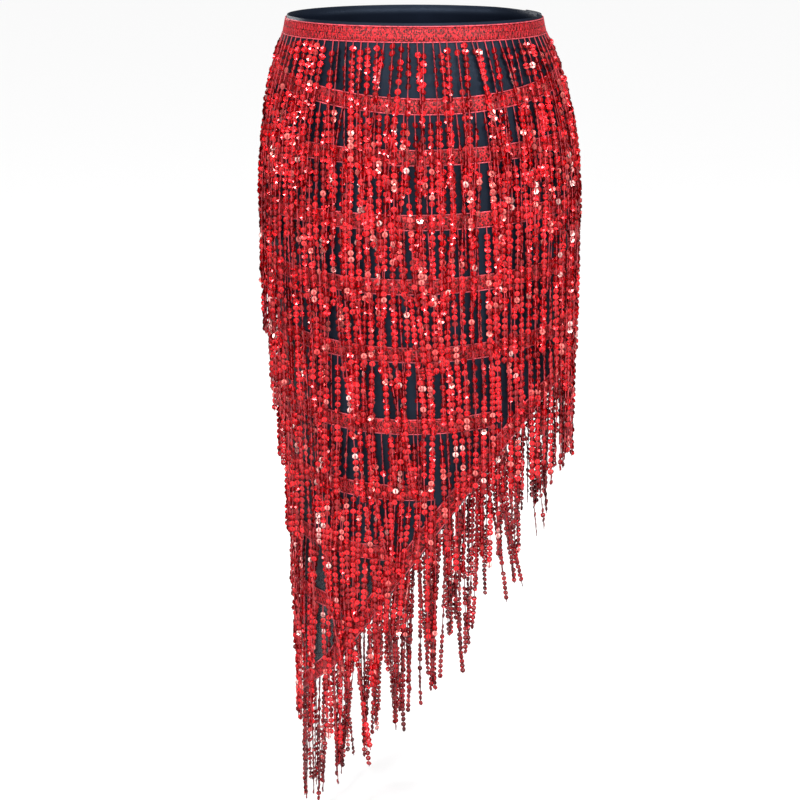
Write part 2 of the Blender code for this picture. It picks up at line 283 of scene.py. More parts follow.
def measure(drop, column):
    """One column of the section table at this drop, on a smooth curve through the rows."""
    last = len(SECTIONS) - 1
    at = min(max(bisect.bisect_right(SECTION_DROPS, drop) - 1, 0), last - 1)
    values = SECTION_VALUES[column]

    def slope(i):
        low, high = max(i - 1, 0), min(i + 1, last)
        return (values[high] - values[low]) / (SECTION_DROPS[high] - SECTION_DROPS[low])

    span = SECTION_DROPS[at + 1] - SECTION_DROPS[at]
    t = min(max((drop - SECTION_DROPS[at]) / span, 0.0), 1.0)
    start, end = values[at], values[at + 1]
    return (
        start * (2 * t**3 - 3 * t**2 + 1)
        + end * (3 * t**2 - 2 * t**3)
        + span * slope(at) * (t**3 - 2 * t**2 + t)
        + span * slope(at + 1) * (t**3 - t**2)
    )


def spot(turn, height):
    """The point of the cloth's inner face at this turn and height."""
    side = "front_deep" if math.cos(turn) > 0 else "back_deep"
    across = measure(-height, "centre") + measure(-height, "half_width") * math.sin(turn)
    return Vector((across, -measure(-height, side) * math.cos(turn), height))


def outward(turn, height):
    """The unit normal of the cloth, pointing away from the wearer."""
    small_turn, small_height = 0.01, 0.002
    round_it = spot(turn + small_turn, height) - spot(turn - small_turn, height)
    up_it = spot(turn, height + small_height) - spot(turn, height - small_height)
    return round_it.cross(up_it).normalized()


def turn_of(point):
    """The turn of a point on or near the cloth."""
    side = "front_deep" if point.y < 0 else "back_deep"
    across = (point.x - measure(-point.z, "centre")) / measure(-point.z, "half_width")
    return math.atan2(across, -point.y / measure(-point.z, side))


def rise_share(turn):
    """How much of its rise a row has at this turn from its lowest point. It runs level behind the sides."""
    away = min(abs(math.remainder(turn, math.tau)), RISE_ENDS)
    return RISE_GAIN * math.sin(away * math.radians(90) / RISE_ENDS) ** 2


def row_height(row, below_top, turn):
    """The height at this turn of the line that lies this far below the top edge of a row's braid."""
    return row.rise * rise_share(turn - math.radians(row.turn)) - row.drop - below_top


def hem_plane(cut, raised):
    """(point, unit normal) of a cut of the hem, raised square to itself. The normal points into the cloth."""
    normal = Vector((-cut.slope, -HEM_TILT, 1.0)).normalized()
    return Vector((0, 0, -cut.drop)) + normal * raised, normal


def above_hem(point, raised):
    """Whether a point is above the hem's line, raised square to itself."""
    return all((point - at).dot(normal) > 0 for at, normal in (hem_plane(cut, raised) for cut in HEM_CUTS))


def hem_height(turn, raised):
    """The height of the hem's line, raised square to itself, at this turn."""
    low, high = -LOWEST_DROP - SEARCH_BELOW, 0.0
    for _ in range(HALVINGS):
        middle = (low + high) / 2
        if above_hem(spot(turn, middle), raised):
            high = middle
        else:
            low = middle
    return high


def tuck_at(turn):
    """How far the cloth lies inside its place: all the way at the under end, easing out past the overlap."""
    past = turn - (WRAP_START + OVERLAP + BARE_END)
    return -TUCK * min(max(1 - past / TUCK_EASE, 0.0), 1.0)


def spaced_turns(height_at, step, pieces):
    """Turns about this far apart along the line at these heights, over the part of the cloth that shows."""
    start, end = WRAP_START + OVERLAP + BARE_END, WRAP_START + OVERLAP + math.tau
    turns = [start + (end - start) * i / pieces for i in range(pieces + 1)]
    points = [spot(turn, height_at(turn)) for turn in turns]
    lengths = [0.0]
    for first, second in zip(points, points[1:]):
        lengths.append(lengths[-1] + (second - first).length)
    count = round(lengths[-1] / step)
    wanted = [lengths[-1] * k / count for k in range(count + 1)]
    return [turns[min(bisect.bisect_left(lengths, length), pieces)] for length in wanted]


def dressed_turns(step):
    """Turns this far apart along the hips."""
    return spaced_turns(lambda turn: -HIP_DROP, step, pieces=1200)


def hem_turns(step):
    """Turns this far apart along the hem's slanting line."""
    return spaced_turns(lambda turn: hem_height(turn, 0.0), step, pieces=500)


# Nodes and materials


def node(tree, kind, **values):
    """A new node. Values named for a setting of its own are set there, the rest on its sockets."""
    made = tree.nodes.new(kind)
    for name, value in values.items():
        if hasattr(made, name):
            setattr(made, name, value)
        else:
            made.inputs[name].default_value = value
    return made


def shaded(name, roughness, metallic=0.0, coat=0.0, specular=0.5):
    """(material, its tree, its Principled shader), with the values that are the same all over."""
    material = bpy.data.materials.new(name)
    material.use_nodes = True
    tree = material.node_tree
    shader = tree.nodes["Principled BSDF"]
    shader.inputs["Roughness"].default_value = roughness
    shader.inputs["Metallic"].default_value = metallic
    shader.inputs["Coat Weight"].default_value = coat
    shader.inputs["Coat Roughness"].default_value = 0.04
    shader.inputs["Specular IOR Level"].default_value = specular
    return material, tree, shader


def ramp(tree, *stops):
    """A colour ramp with these (place, colour) stops."""
    made = tree.nodes.new("ShaderNodeValToRGB")
    elements = made.color_ramp.elements
    while len(elements) < len(stops):
        elements.new(1.0)
    for element, (place, colour) in zip(elements, stops):
        element.position = place
        element.color = (*colour, 1.0)
    return made


def patchy(tree, *stops, scale, detail):
    """The colour output of soft patches, over these (place, colour) stops."""
    place = node(tree, "ShaderNodeTexCoord")
    patches = node(tree, "ShaderNodeTexNoise", Scale=scale, Detail=detail)
    tree.links.new(place.outputs["Object"], patches.inputs["Vector"])
    tones = ramp(tree, *stops)
    tree.links.new(patches.outputs["Fac"], tones.inputs["Fac"])
    return tones.outputs["Color"]


def bumped(tree, shader, height, strength, distance):
    """Raises the shader's surface by this height output."""
    bump = node(tree, "ShaderNodeBump", Strength=strength, Distance=distance)
    tree.links.new(height, bump.inputs["Height"])
    tree.links.new(bump.outputs["Normal"], shader.inputs["Normal"])


def satin_material(scarf):
    """Dark satin, slightly uneven, with a fine rib."""
    material, tree, shader = shaded("navy_satin", roughness=0.42, specular=0.22)
    shader.inputs["Specular Tint"].default_value = (0.55, 0.72, 1.0, 1.0)
    links = tree.links
    cloth = Vector(scarf.cloth_colour)
    tones = patchy(tree, (0.35, cloth * 0.75), (0.7, cloth * 1.35), scale=14.0, detail=3.0)
    links.new(tones, shader.inputs["Base Color"])
    uv = node(tree, "ShaderNodeUVMap", uv_map="UVMap")
    weave = node(tree, "ShaderNodeTexWave", Scale=420.0, Distortion=0.6)
    links.new(uv.outputs["UV"], weave.inputs["Vector"])
    bumped(tree, shader, weave.outputs["Fac"], strength=0.25, distance=0.0002)
    return material


def sheer_material(scarf):
    """Thin net for the low corner: the satin's colour at its top, then greyer and more open."""
    material, tree, shader = shaded("grey_net", roughness=0.5, specular=0.22)
    links = tree.links
    dark, pale = (0.05, 0.054, 0.064), (0.14, 0.146, 0.16)
    greys = patchy(tree, (0.3, dark), (0.7, pale), scale=9.0, detail=2.0)
    place = node(tree, "ShaderNodeTexCoord")
    level = node(tree, "ShaderNodeSeparateXYZ")
    links.new(place.outputs["Object"], level.inputs["Vector"])
    fade = {"From Min": -NET_THIN_DROP, "From Max": -NET_DROP, "To Min": scarf.net_cover}
    cover = node(tree, "ShaderNodeMapRange", interpolation_type="SMOOTHSTEP", **fade)
    links.new(level.outputs["Z"], cover.inputs["Value"])
    links.new(cover.outputs["Result"], shader.inputs["Alpha"])
    blend = node(tree, "ShaderNodeMix", data_type="RGBA")
    links.new(cover.outputs["Result"], blend.inputs["Factor"])
    links.new(greys, blend.inputs[MIX_A])
    blend.inputs[MIX_B].default_value = (*scarf.cloth_colour, 1.0)
    links.new(blend.outputs[MIX_RESULT], shader.inputs["Base Color"])
    return material


def sequin_material(name, colour, rim_starts, plain_share):
    """Metallic plastic film under a clear gloss. Each sequin has a tone of its own, painted shade by its hole
    and at its rim, and a few have painted flashes of light.
    """
    material, tree, shader = shaded(name, roughness=0.22, metallic=0.8, coat=0.3)
    shader.inputs["Specular Tint"].default_value = (1.0, 0.4, 0.4, 1.0)
    links = tree.links
    tint = node(tree, "ShaderNodeAttribute", attribute_name="tint")
    red = Vector(colour)
    # A few sequins get pink and pale tones all over: painted flashes of light.
    painted_flash_pink, pale = Vector((0.85, 0.17, 0.15)), Vector((0.95, 0.52, 0.48))
    deep, bright = red * 0.3, red * 1.12
    plain_stops = (0.0, deep), (0.3, red * 0.75), (0.7, red), (plain_share - 0.035, bright)
    painted_flash_share = 1 - plain_share
    painted_flash_stops = (plain_share, painted_flash_pink), (1 - painted_flash_share * 0.4, painted_flash_pink), (1 - painted_flash_share * 0.2, pale)
    tones = ramp(tree, *plain_stops, *painted_flash_stops)
    links.new(tint.outputs["Fac"], tones.inputs["Fac"])
    rim = node(tree, "ShaderNodeAttribute", attribute_name="rim")
    # Painted shade: each sequin darkens towards its hole and towards its rim.
    plain, dark = (1.0, 1.0, 1.0), (0.28, 0.18, 0.2)
    rim_shade = (rim_starts, plain), (rim_starts + RIM_SHADE, dark)
    shade = ramp(tree, (0.0, dark), (HOLE_SHADE, plain), *rim_shade)
    links.new(rim.outputs["Fac"], shade.inputs["Fac"])
    painted_shade_mix = node(tree, "ShaderNodeMix", data_type="RGBA", blend_type="MULTIPLY")
    painted_shade_mix.inputs["Factor"].default_value = 1.0
    links.new(tones.outputs["Color"], painted_shade_mix.inputs[MIX_A])
    links.new(shade.outputs["Color"], painted_shade_mix.inputs[MIX_B])
    links.new(painted_shade_mix.outputs[MIX_RESULT], shader.inputs["Base Color"])
    return material


def thread_material(name, colour):
    """Matt sewing thread in two near tones."""
    material, tree, shader = shaded(name, roughness=0.6)
    red = Vector(colour)
    tones = patchy(tree, (0.35, red * 0.65), (0.65, red * 1.2), scale=60.0, detail=1.0)
    tree.links.new(tones, shader.inputs["Base Color"])
    return material


def ground_material(scarf):
    """The braid's glittering ground: small facets from near black to bright red, by its own UV map."""
    material, tree, shader = shaded("braid_ground", roughness=0.42, metallic=0.5)
    links = tree.links
    uv = node(tree, "ShaderNodeUVMap", uv_map="UVMap")
    facets = node(tree, "ShaderNodeTexVoronoi", Scale=620.0, Randomness=0.9)
    links.new(uv.outputs["UV"], facets.inputs["Vector"])
    parts = node(tree, "ShaderNodeSeparateColor")
    links.new(facets.outputs["Color"], parts.inputs["Color"])
    red = Vector(scarf.braid_colour)
    stops = (0.0, red * 0.02), (0.42, red * 0.2), (0.66, red * 0.7), (0.92, red * 1.35)
    tones = ramp(tree, *stops)
    links.new(parts.outputs["Red"], tones.inputs["Fac"])
    links.new(tones.outputs["Color"], shader.inputs["Base Color"])
    bumped(tree, shader, parts.outputs["Green"], strength=0.6, distance=0.0004)
    return material


def cord_material(name, colour):
    """A cord of the braid, with fine flecks."""
    material, tree, shader = shaded(name, roughness=0.45, metallic=0.2)
    red = Vector(colour)
    tones = patchy(tree, (0.35, red * 0.55), (0.62, red * 1.25), scale=380.0, detail=1.0)
    tree.links.new(tones, shader.inputs["Base Color"])
    return material


# Cloth


def crease_height(point, turn):
    """How far the creases raise the cloth at this point."""
    total = 0.0
    for crease in CREASES:
        turned = math.remainder(turn - math.radians(crease.turn), math.tau)
        if abs(turned) > CREASE_LIMIT:
            continue
        across = turned * measure(crease.drop, "half_width")
        up = point.z + crease.drop
        slant = math.radians(crease.slant)
        along = across * math.cos(slant) + up * math.sin(slant)
        off = up * math.cos(slant) - across * math.sin(slant)
        total += crease.deep * math.exp(-((along / (crease.long / 2)) ** 2) - (off / crease.wide) ** 2)
    return total


def cloth_sheet():
    """The cloth as a flat grid laid on the wearer, trimmed to its hem, with a UV map in metres."""
    bm = bmesh.new()
    uv = bm.loops.layers.uv.new("UVMap")
    tuck = bm.verts.layers.float.new("tuck")
    around = bm.verts.layers.float.new("around")
    bmesh.ops.create_grid(bm, x_segments=CLOTH_COLUMNS, y_segments=CLOTH_LINES, size=1.0)
    ends = WRAP_START, WRAP_START + math.tau + OVERLAP
    top = -(ROWS[0].drop - CLOTH_ABOVE_BRAID)
    for vert in bm.verts:
        turn = ends[0] + (ends[1] - ends[0]) * (vert.co.x + 1) / 2
        height = top + (vert.co.y - 1) / 2 * (LOWEST_DROP + top)
        vert[tuck] = tuck_at(turn)
        vert[around] = turn
        vert.co = spot(turn, height)
    for cut in HEM_CUTS:
        at, normal = hem_plane(cut, 0.0)
        everything = bm.verts[:] + bm.edges[:] + bm.faces[:]
        bmesh.ops.bisect_plane(bm, geom=everything, plane_co=at, plane_no=normal, clear_inner=True)
    wide = measure(HIP_DROP, "half_width")
    for loop in (loop for face in bm.faces for loop in face.loops):
        loop[uv].uv = (loop.vert[around] * wide, loop.vert.co.z)
    return bm, tuck


def second_side(bm):
    """Gives a sheet a second side, joined at the edges, and returns its vertices."""
    made = bmesh.ops.extrude_face_region(bm, geom=bm.faces[:] + bm.edges[:], use_keep_orig=True)
    return {item for item in made["geom"] if isinstance(item, bmesh.types.BMVert)}


def cloth_wall():
    """The cloth as a thin closed wall with its creases, as a bmesh."""
    bm, tuck = cloth_sheet()
    outer = second_side(bm)
    for vert in bm.verts:
        turn = turn_of(vert.co)
        out = CLOTH_OUTER if vert in outer else CLOTH_INNER
        vert.co += outward(turn, vert.co.z) * (out + vert[tuck] + crease_height(vert.co, turn))
    bmesh.ops.recalc_face_normals(bm, faces=bm.faces[:])
    return bm


def as_object(name, data, *materials):
    """A new object in the scene, of this data and with these materials."""
    obj = bpy.data.objects.new(name, data)
    bpy.context.scene.collection.objects.link(obj)
    for material in materials:
        data.materials.append(material)
    return obj


def evaluated_mesh(obj):
    """The mesh that an object's curve or modifiers make."""
    return bpy.data.meshes.new_from_object(obj.evaluated_get(bpy.context.evaluated_depsgraph_get()))


def mesh_of(bm, name):
    """A new mesh of this bmesh, which is freed."""
    mesh = bpy.data.meshes.new(name)
    bm.to_mesh(mesh)
    bm.free()
    return mesh


def netted_faces(mesh):
    """Gives the net's material to the cloth below its line."""
    for face in mesh.polygons:
        face.material_index = int(face.center.z < -NET_DROP)


# Threads and sequins


def hem_thread_length(turn):
    """How long the hem's threads are at this turn."""
    degrees = math.degrees(math.remainder(turn, math.tau))
    for low, high in zip(HEM_THREADS, HEM_THREADS[1:]):
        if low.turn <= degrees <= high.turn:
            share = (degrees - low.turn) / (high.turn - low.turn)
            return low.long + (high.long - low.long) * share
    raise ValueError("no thread length at this turn")


def reach_at(share):
    """How far out of the cloth's inner face a thread hangs, at this share of its length."""
    for low, high in zip(REACHES, REACHES[1:]):
        if share <= high.share:
            return low.out + (high.out - low.out) * (share - low.share) / (high.share - low.share)
    return REACHES[-1].out


def hung_thread(rng, turn, top, long, lean, hem):
    """The knots of one thread, from its braid down. It hangs plumb where the cloth falls away below it."""
    points = []
    reach = 0.0
    wobble = rng.uniform(0.0, math.tau)
    for k in range(THREAD_KNOTS):
        share = k / (THREAD_KNOTS - 1)
        height = top - long * share
        swing = lean * share + SWAY * math.sin(wobble + share * SWAY_WAVES) * share
        here = turn + swing / measure(-top, "half_width")
        away = outward(here, height)
        away.z = 0.0
        away.normalize()
        out = HEM_OUT + HEM_FLARE * share if hem else reach_at(share)
        place = spot(here, height) + away * out
        flat = math.hypot(place.x, place.y)
        if flat < reach:
            stay = reach / flat
            place = Vector((place.x * stay, place.y * stay, height))
        reach = max(reach, flat)
        points.append(place)
    return points


def strung_places(rng, points, long, size):
    """(distance, place, direction down the thread) of each sequin of one thread. It ends in a cluster."""
    spans = [(b - a).length for a, b in zip(points, points[1:])]
    found = []
    at = long - size / 2
    start = BARE_TOP * rng.uniform(BARE_LEAST, BARE_MOST)
    while at > start:
        pitch = size * rng.uniform(PITCH_LEAST, PITCH_MOST)
        for _ in range(rng.randint(CLUSTER_LEAST, CLUSTER_MOST)):
            if at > start:
                found.append(at)
            at -= pitch
        gap = rng.uniform(GAP_LEAST, GAP_MOST)
        if at > NO_GAP_ABOVE:
            at -= gap
    placed = []
    for distance in found:
        left = distance
        for (a, b), span in zip(zip(points, points[1:]), spans):
            if left <= span:
                placed.append((distance, a.lerp(b, left / span), (b - a).normalized()))
                break
            left -= span
    return placed


Sequin = namedtuple("Sequin", "place facing scale tint")


def facing(direction, down, tilt):
    """The turn that lays a sequin face to this direction, tipped up about its own level line."""
    side = direction.cross(down).normalized()
    front = down.cross(side).normalized()
    turned = Matrix((side, -down, front)).transposed()
    return (turned @ Matrix.Rotation(-tilt, 3, "X")).to_euler()


def strung_sequins(rng, points, long, diameter, share):
    """The sequins of one thread, at this share of their full diameter. Near the braid they lie flatter."""
    made = []
    tint = rng.random()
    whole = rng.gauss(0.0, THREAD_TURN)
    for distance, place, down in strung_places(rng, points, long, diameter * share):
        whole += rng.gauss(0.0, THREAD_TWIST)
        turned = whole + rng.gauss(0.0, OWN_TURN)
        away = outward(turn_of(place), place.z)
        away.rotate(Euler((0.0, 0.0, turned * min(HELD_SHARE + distance / FREE_TO_TURN, 1.0))))
        tilt = rng.gauss(MEAN_TILT, TILT_SPREAD)
        if rng.random() < NEW_TINT:
            tint = rng.random()
        size = share * rng.uniform(SIZE_LEAST, SIZE_MOST)
        made.append(Sequin(place, facing(away, down, tilt), size, tint))
    return made


def combed_lean(rng, turns, bunching):
    """A sideways lean for each thread, which draws neighbours together into bunches of a few."""
    leans = []
    while len(leans) < len(turns):
        bunch = turns[len(leans) : len(leans) + rng.randint(BUNCH_LEAST, BUNCH_MOST)]
        middle = sum(bunch) / len(bunch)
        drift = rng.gauss(0.0, BUNCH_DRIFT)
        for turn in bunch:
            drawn = (middle - turn) * measure(HIP_DROP, "half_width") * bunching
            leans.append(drawn + drift + rng.gauss(0.0, STRAY_LEAN) * rng.choice(STRAY_GAINS))
    return leans


def parted_lean(number, turn):
    """The lean that parts the lowest rows' threads, so that a piece of net shows between them."""
    away = math.remainder(turn - PARTING_TURN, math.tau)
    if number < PARTING_FROM_ROW or abs(away) > PARTING_WIDTH:
        return 0.0
    return math.copysign(PARTING_WIDTH - abs(away), away) * PARTING_LEAN


def kept_lean(number, turn):
    """The share of its lean that a row's thread keeps: little of it where the threads hang evenly."""
    if number < EVEN_FROM_ROW:
        return 1.0
    away = math.remainder(turn - EVEN_TURN, math.tau) / EVEN_WIDTH
    return 1 - EVEN_SHARE * math.exp(-(away**4))


def fanned_lean(turn):
    """The sweep of the hem's threads to the wearer's left, where the thigh pushes them aside."""
    away = math.remainder(turn - FAN_TURN, math.tau) / FAN_WIDTH
    return FAN_LEAN * math.exp(-(away**2))


def row_fringe(rng, number, row, spacing, diameter):
    """(threads, sequins) of one row."""
    threads, sequins = [], []
    turns = dressed_turns(spacing)
    size = TOP_SEQUIN_SIZE + (LOW_SEQUIN_SIZE - TOP_SEQUIN_SIZE) * number / (len(ROWS) - 1)
    shift = (number % ROW_SHIFTS) / ROW_SHIFTS
    step = turns[1] - turns[0]
    bunching = TOP_BUNCHING + (LOW_BUNCHING - TOP_BUNCHING) * number / (len(ROWS) - 1)
    leans = combed_lean(rng, turns, bunching)
    for turn, lean in zip(turns[:-1], leans):
        turn += step * (shift + rng.uniform(SEWN_LEAST, SEWN_MOST)) * SEWN_SHARE
        top = row_height(row, BRAID_HIGH - UNDER_BRAID, turn)
        root = spot(turn, top - LEAST_SHOWN)
        if not above_hem(root, BRAID_HIGH):
            continue
        long = FRINGE_LONG + rng.gauss(0.0, FRINGE_SPREAD)
        lean = lean * kept_lean(number, turn) + parted_lean(number, turn)
        points = hung_thread(rng, turn, top, long, lean, hem=False)
        threads.append(points)
        sequins.extend(strung_sequins(rng, points, long, diameter, size))
    return threads, sequins


def hem_fringe(rng, spacing, diameter):
    """(threads, sequins) of the slanting hem."""
    threads, sequins = [], []
    turns = hem_turns(spacing)[:-1]
    leans = combed_lean(rng, turns, HEM_BUNCHING)
    for turn, lean in zip(turns, leans):
        top = hem_height(turn, UNDER_BRAID)
        long = hem_thread_length(turn) + rng.gauss(0.0, HEM_SPREAD)
        points = hung_thread(rng, turn, top, long, lean + fanned_lean(turn), hem=True)
        threads.append(points)
        sequins.extend(strung_sequins(rng, points, long, diameter, HEM_SEQUIN_SIZE))
    return threads, sequins


def tube_mesh(name, lines, radius):
    """Round tubes along these lines, as one mesh."""
    curve = bpy.data.curves.new(name, "CURVE")
    curve.dimensions = "3D"
    curve.bevel_depth = radius
    curve.bevel_resolution = 0
    curve.use_fill_caps = True
    for points in lines:
        spline = curve.splines.new("POLY")
        spline.points.add(len(points) - 1)
        for knot, place in zip(spline.points, points):
            knot.co = (*place, 1.0)
    obj = as_object(name, curve)
    mesh = evaluated_mesh(obj)
    bpy.data.objects.remove(obj)
    bpy.data.curves.remove(curve)
    bm = bmesh.new()
    bm.from_mesh(mesh)
    bmesh.ops.remove_doubles(bm, verts=bm.verts[:], dist=WELD_TUBE)
    bmesh.ops.recalc_face_normals(bm, faces=bm.faces[:])
    bm.to_mesh(mesh)
    bm.free()
    mesh.materials.clear()
    return mesh


def sequin_template(diameter):
    """One cup sequin with its hole, as a thin ring spun from its section."""
    hole = diameter * HOLE_SHARE / 2
    outer = Vector((diameter / 2, 0, RIM_RISE))
    front = Vector((hole, 0, HOLE_FRONT))
    back = Vector((hole, 0, HOLE_BACK))
    bm = bmesh.new()
    section = [bm.verts.new(point) for point in (outer, front, back)]
    edges = [bm.edges.new((section[k], section[(k + 1) % 3])) for k in range(3)]
    bmesh.ops.spin(
        bm,
        geom=section + edges,
        cent=(0, 0, 0),
        axis=(0, 0, 1),
        angle=math.tau,
        steps=SEQUIN_SIDES,
        use_merge=True,
    )
    bmesh.ops.remove_doubles(bm, verts=bm.verts[:], dist=WELD_SEQUIN)
    bmesh.ops.recalc_face_normals(bm, faces=bm.faces[:])
    rim = bm.verts.layers.float.new("rim")
    for vert in bm.verts:
        vert[rim] = math.hypot(vert.co.x, vert.co.y) * 2 / diameter
    return as_object("sequin_template", mesh_of(bm, "sequin_template"))


def sown(name, template, sequins, material):
    """One mesh of all these sequins, each a copy of the template."""
    mesh = bpy.data.meshes.new(name)
    mesh.vertices.add(len(sequins))
    mesh.vertices.foreach_set("co", [value for sequin in sequins for value in sequin.place])
    for key, kind, values in (
        ("facing", "FLOAT_VECTOR", [value for sequin in sequins for value in sequin.facing]),
        ("scale", "FLOAT", [sequin.scale for sequin in sequins]),
        ("tint", "FLOAT", [sequin.tint for sequin in sequins]),
    ):
        layer = mesh.attributes.new(key, kind, "POINT")
        layer.data.foreach_set("vector" if kind == "FLOAT_VECTOR" else "value", values)
    obj = as_object(name, mesh)
    tree = sowing_tree(template, material)
    modifier = obj.modifiers.new("sow", "NODES")
    modifier.node_group = tree
    made = evaluated_mesh(obj)
    obj.modifiers.clear()
    obj.data = made
    made.name = name
    bpy.data.meshes.remove(mesh)
    bpy.data.node_groups.remove(tree)
    return obj


def sowing_tree(template, material):
    """Geometry nodes that put a copy of the template at each point, turned and sized by its attributes."""
    tree = bpy.data.node_groups.new("sow_sequins", "GeometryNodeTree")
    tree.interface.new_socket("Geometry", in_out="INPUT", socket_type="NodeSocketGeometry")
    tree.interface.new_socket("Geometry", in_out="OUTPUT", socket_type="NodeSocketGeometry")
    start = tree.nodes.new("NodeGroupInput")
    end = tree.nodes.new("NodeGroupOutput")
    shape = node(tree, "GeometryNodeObjectInfo", Object=template)
    sow = tree.nodes.new("GeometryNodeInstanceOnPoints")
    turned = node(tree, "GeometryNodeInputNamedAttribute", data_type="FLOAT_VECTOR", Name="facing")
    sized = node(tree, "GeometryNodeInputNamedAttribute", data_type="FLOAT", Name="scale")
    real = tree.nodes.new("GeometryNodeRealizeInstances")
    paint = node(tree, "GeometryNodeSetMaterial", Material=material)
    to_turn = tree.nodes.new("FunctionNodeEulerToRotation")
    links = tree.links
    links.new(start.outputs[0], sow.inputs["Points"])
    links.new(shape.outputs["Geometry"], sow.inputs["Instance"])
    links.new(turned.outputs["Attribute"], to_turn.inputs["Euler"])
    links.new(to_turn.outputs["Rotation"], sow.inputs["Rotation"])
    links.new(sized.outputs["Attribute"], sow.inputs["Scale"])
    links.new(sow.outputs["Instances"], real.inputs["Geometry"])
    links.new(real.outputs["Geometry"], paint.inputs["Geometry"])
    links.new(paint.outputs["Geometry"], end.inputs[0])
    return tree


# Braid


class BraidPath:
    """A run of braid along the cloth: the height of its lower edge and its turns from end to end."""

    def __init__(self, lower, turns, slope_of):
        self.lower = lower
        self.turns = turns
        self.slope_of = slope_of

    def point(self, turn, up, out):
        """A point of the braid, this far up it square to its edge, and this far out of the cloth."""
        height = self.lower(turn)
        lean = self.slope_of(turn)
        side = up * math.sin(lean) / measure(-height, "half_width")
        here = turn - side
        rise = height + up * math.cos(lean)
        return spot(here, rise) + outward(here, rise) * out


def row_path(row, step):
    """The run of a row's braid, which stops where the hem's braid begins."""
    turns = []
    for turn in dressed_turns(step):
        foot = spot(turn, row_height(row, BRAID_HIGH, turn))
        if above_hem(foot, BRAID_HIGH + HEM_BRAID_GAP):
            turns.append(turn)
    return BraidPath(lambda turn: row_height(row, BRAID_HIGH, turn), turns, lambda turn: 0.0)


def hem_path(step):
    """The run of the hem's braid."""

    def slope_of(turn):
        small = 0.01
        low, high = hem_height(turn - small, 0.0), hem_height(turn + small, 0.0)
        across = spot(turn + small, high) - spot(turn - small, low)
        return math.atan2(high - low, math.hypot(across.x, across.y))

    return BraidPath(lambda turn: hem_height(turn, 0.0), dressed_turns(step), slope_of)


def braid_strip(path):
    """The braid's ground as a thin closed wall with a UV map in metres."""
    bm = bmesh.new()
    uv = bm.loops.layers.uv.new("UVMap")
    across = len(path.turns) - 1
    bmesh.ops.create_grid(bm, x_segments=across, y_segments=BRAID_LINES, size=1.0)
    flat = {vert: vert.co.copy() for vert in bm.verts}
    wide = measure(HIP_DROP, "half_width")
    for face in bm.faces:
        for loop in face.loops:
            here = flat[loop.vert]
            turn = path.turns[round((here.x + 1) / 2 * across)]
            loop[uv].uv = (turn * wide, (here.y + 1) / 2 * BRAID_HIGH)
    outer = second_side(bm)
    for vert in bm.verts:
        turn = path.turns[round((vert.co.x + 1) / 2 * across)]
        up = (vert.co.y + 1) / 2 * BRAID_HIGH
        vert.co = path.point(turn, up, BRAID_OUTER if vert in outer else BRAID_INNER)
    bmesh.ops.recalc_face_normals(bm, faces=bm.faces[:])
    return mesh_of(bm, "braid_strip")


def edge_lines(path):
    """The cords along both edges of a braid."""
    insets = EDGE_CORD, BRAID_HIGH - EDGE_CORD
    return [[path.point(turn, up, CORD_OUT) for turn in path.turns] for up in insets]


def meander_line(path, low, high):
    """A cord that turns back and forth between two heights of the braid."""
    wide = measure(HIP_DROP, "half_width")
    start, end = path.turns[0], path.turns[-1]
    count = int((end - start) * wide / MEANDER_PITCH)
    line = []
    for k in range(count):
        for share, at_top in MEANDER_KNOTS:
            turn = start + (end - start) * (k + share) / count
            line.append(path.point(turn, high if at_top else low, CORD_OUT))
    return line


def joined(name, meshes, materials):
    """One object of several meshes, each with its own material."""
    bm = bmesh.new()
    first = 0
    for number, mesh in enumerate(meshes):
        bm.from_mesh(mesh)
        bm.faces.ensure_lookup_table()
        for face in bm.faces[first:]:
            face.material_index = number
        first = len(bm.faces)
        bpy.data.meshes.remove(mesh)
    return as_object(name, mesh_of(bm, name), *materials)


def braid_object(name, path, materials):
    """One run of braid: its ground, the cords of its edges and the cord that winds between them."""
    edges = tube_mesh("edge_cords", edge_lines(path), EDGE_CORD)
    middle = [meander_line(path, BRAID_HIGH * low, BRAID_HIGH * high) for low, high in MEANDER_BANDS]
    meander = tube_mesh("meander", middle, MEANDER_CORD)
    return joined(name, [braid_strip(path), edges, meander], materials)


# Stage


def studio_world():
    """A plain world that looks white and lights the scene softly."""
    world = bpy.data.worlds.new("studio")
    world.use_nodes = True
    tree = world.node_tree
    background = tree.nodes["Background"]
    background.inputs["Color"].default_value = (1.0, 1.0, 1.0, 1.0)
    seen = node(tree, "ShaderNodeLightPath")
    strength = node(tree, "ShaderNodeMapRange")
    strength.inputs["To Min"].default_value = WORLD_STRENGTH
    tree.links.new(seen.outputs["Is Camera Ray"], strength.inputs["Value"])
    tree.links.new(strength.outputs["Result"], background.inputs["Strength"])
    return world


def build_floor():
    """A plain pale floor, which isn't part of the scarf."""
    bm = bmesh.new()
    bmesh.ops.create_grid(bm, x_segments=1, y_segments=1, size=FLOOR_SIZE / 2)
    bmesh.ops.translate(bm, verts=bm.verts[:], vec=(0, 0, FLOOR_HEIGHT))
    pale, _, shader = shaded("floor", roughness=0.9)
    shader.inputs["Base Color"].default_value = (0.95, 0.95, 0.95, 1.0)
    as_object("floor", mesh_of(bm, "floor"), pale)


def build_lights(scene):
    """Soft light from above, and round lamps that the sequins catch."""
    scene.world = studio_world()
    scene.view_settings.view_transform = "Standard"
    overhead = bpy.data.lights.new("overhead", "SUN")
    overhead.energy = OVERHEAD_STRENGTH
    overhead.angle = OVERHEAD_SPREAD
    as_object("overhead", overhead).rotation_euler = OVERHEAD_TURN
    target = Vector(LAMP_TARGET)
    for lamp in LAMPS:
        light = bpy.data.lights.new(lamp.name, "AREA")
        light.shape = "DISK"
        light.size = lamp.size
        light.energy = lamp.power
        holder = as_object(lamp.name, light)
        holder.location = lamp.place
        holder.rotation_euler = (target - Vector(lamp.place)).to_track_quat("-Z", "Y").to_euler()


